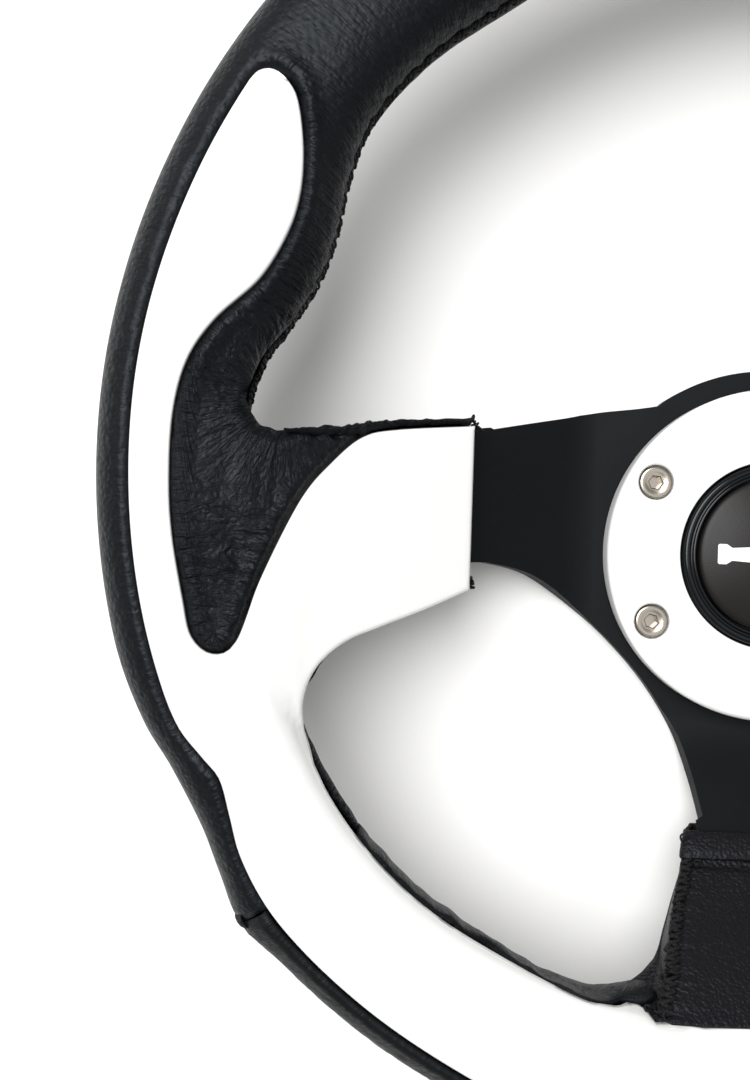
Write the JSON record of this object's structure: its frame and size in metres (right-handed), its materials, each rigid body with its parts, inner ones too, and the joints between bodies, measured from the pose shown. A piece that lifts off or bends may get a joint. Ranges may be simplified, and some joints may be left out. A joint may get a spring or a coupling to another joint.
{
  "type": "sport steering wheel",
  "caption": "Dished, spoked sport steering wheel with a leather rim, gloss front inlay, round horn ring and a sprung horn push.",
  "frame": {"origin": "below the middle of the outer box, on the plane of the hub plate's rear face; the steering axis stands 19.8 mm below it, towards six o'clock", "axes": "+X to the driver's right, +Y to twelve o'clock, +Z out of the face towards the driver"},
  "size_m": [0.3218, 0.3165, 0.0608],
  "materials": {
    "plate_black": "satin black anodised",
    "core_steel": "plain mild steel",
    "foam": "moulded polyurethane foam with a skin",
    "leather": "black grained leather, soft sheen",
    "thread": "waxed black polyester thread",
    "inlay_white": "gloss white",
    "ring_white": "semi-gloss white",
    "nickel": "nickel plated",
    "bezel_black": "gloss black",
    "cap_black": "satin dark brown-grey",
    "emblem_white": "white print",
    "brass": "tinned brass strip"
  },
  "bodies": {
    "wheel": {"spoke_plate": "plate_black", "rim_core": "core_steel", "left_spoke_rivet_1": "core_steel", "left_spoke_rivet_2": "core_steel", "right_spoke_rivet_1": "core_steel", "right_spoke_rivet_2": "core_steel", "bottom_spoke_rivet_1": "core_steel", "bottom_spoke_rivet_2": "core_steel", "rim_foam": "foam", "left_spoke_foam": "foam", "right_spoke_foam": "foam", "upper_rim_leather": "leather", "left_rim_leather": "leather", "right_rim_leather": "leather", "lower_rim_leather": "leather", "left_thumb_grip": "leather", "right_thumb_grip": "leather", "left_spoke_leather": "leather", "right_spoke_leather": "leather", "bottom_spoke_leather": "leather", "bottom_spoke_collar": "leather", "upper_seam_thread": "thread", "left_panel_thread": "thread", "right_panel_thread": "thread", "cover_left_thread": "thread", "cover_right_thread": "thread", "front_inlay": "inlay_white", "horn_ring": "ring_white", "ring_screw_1": "nickel", "ring_screw_2": "nickel", "ring_screw_3": "nickel", "ring_screw_4": "nickel", "ring_screw_5": "nickel", "ring_screw_6": "nickel", "horn_spring": "nickel", "horn_bezel": "bezel_black", "horn_fixed_contact": "brass", "horn_terminal_1": "brass", "horn_terminal_2": "brass"},
    "horn_push": {"horn_cap": "cap_black", "horn_emblem": "emblem_white", "horn_moving_contact": "brass"}
  },
  "joints": [
    {"name": "horn_press", "type": "slide", "parent": "wheel", "child": "horn_push", "axis": [0, 0, -1], "range_m": [0, 0.0015], "stiffness_N_per_m": 900, "deforming": ["horn_spring"]}
  ]
}
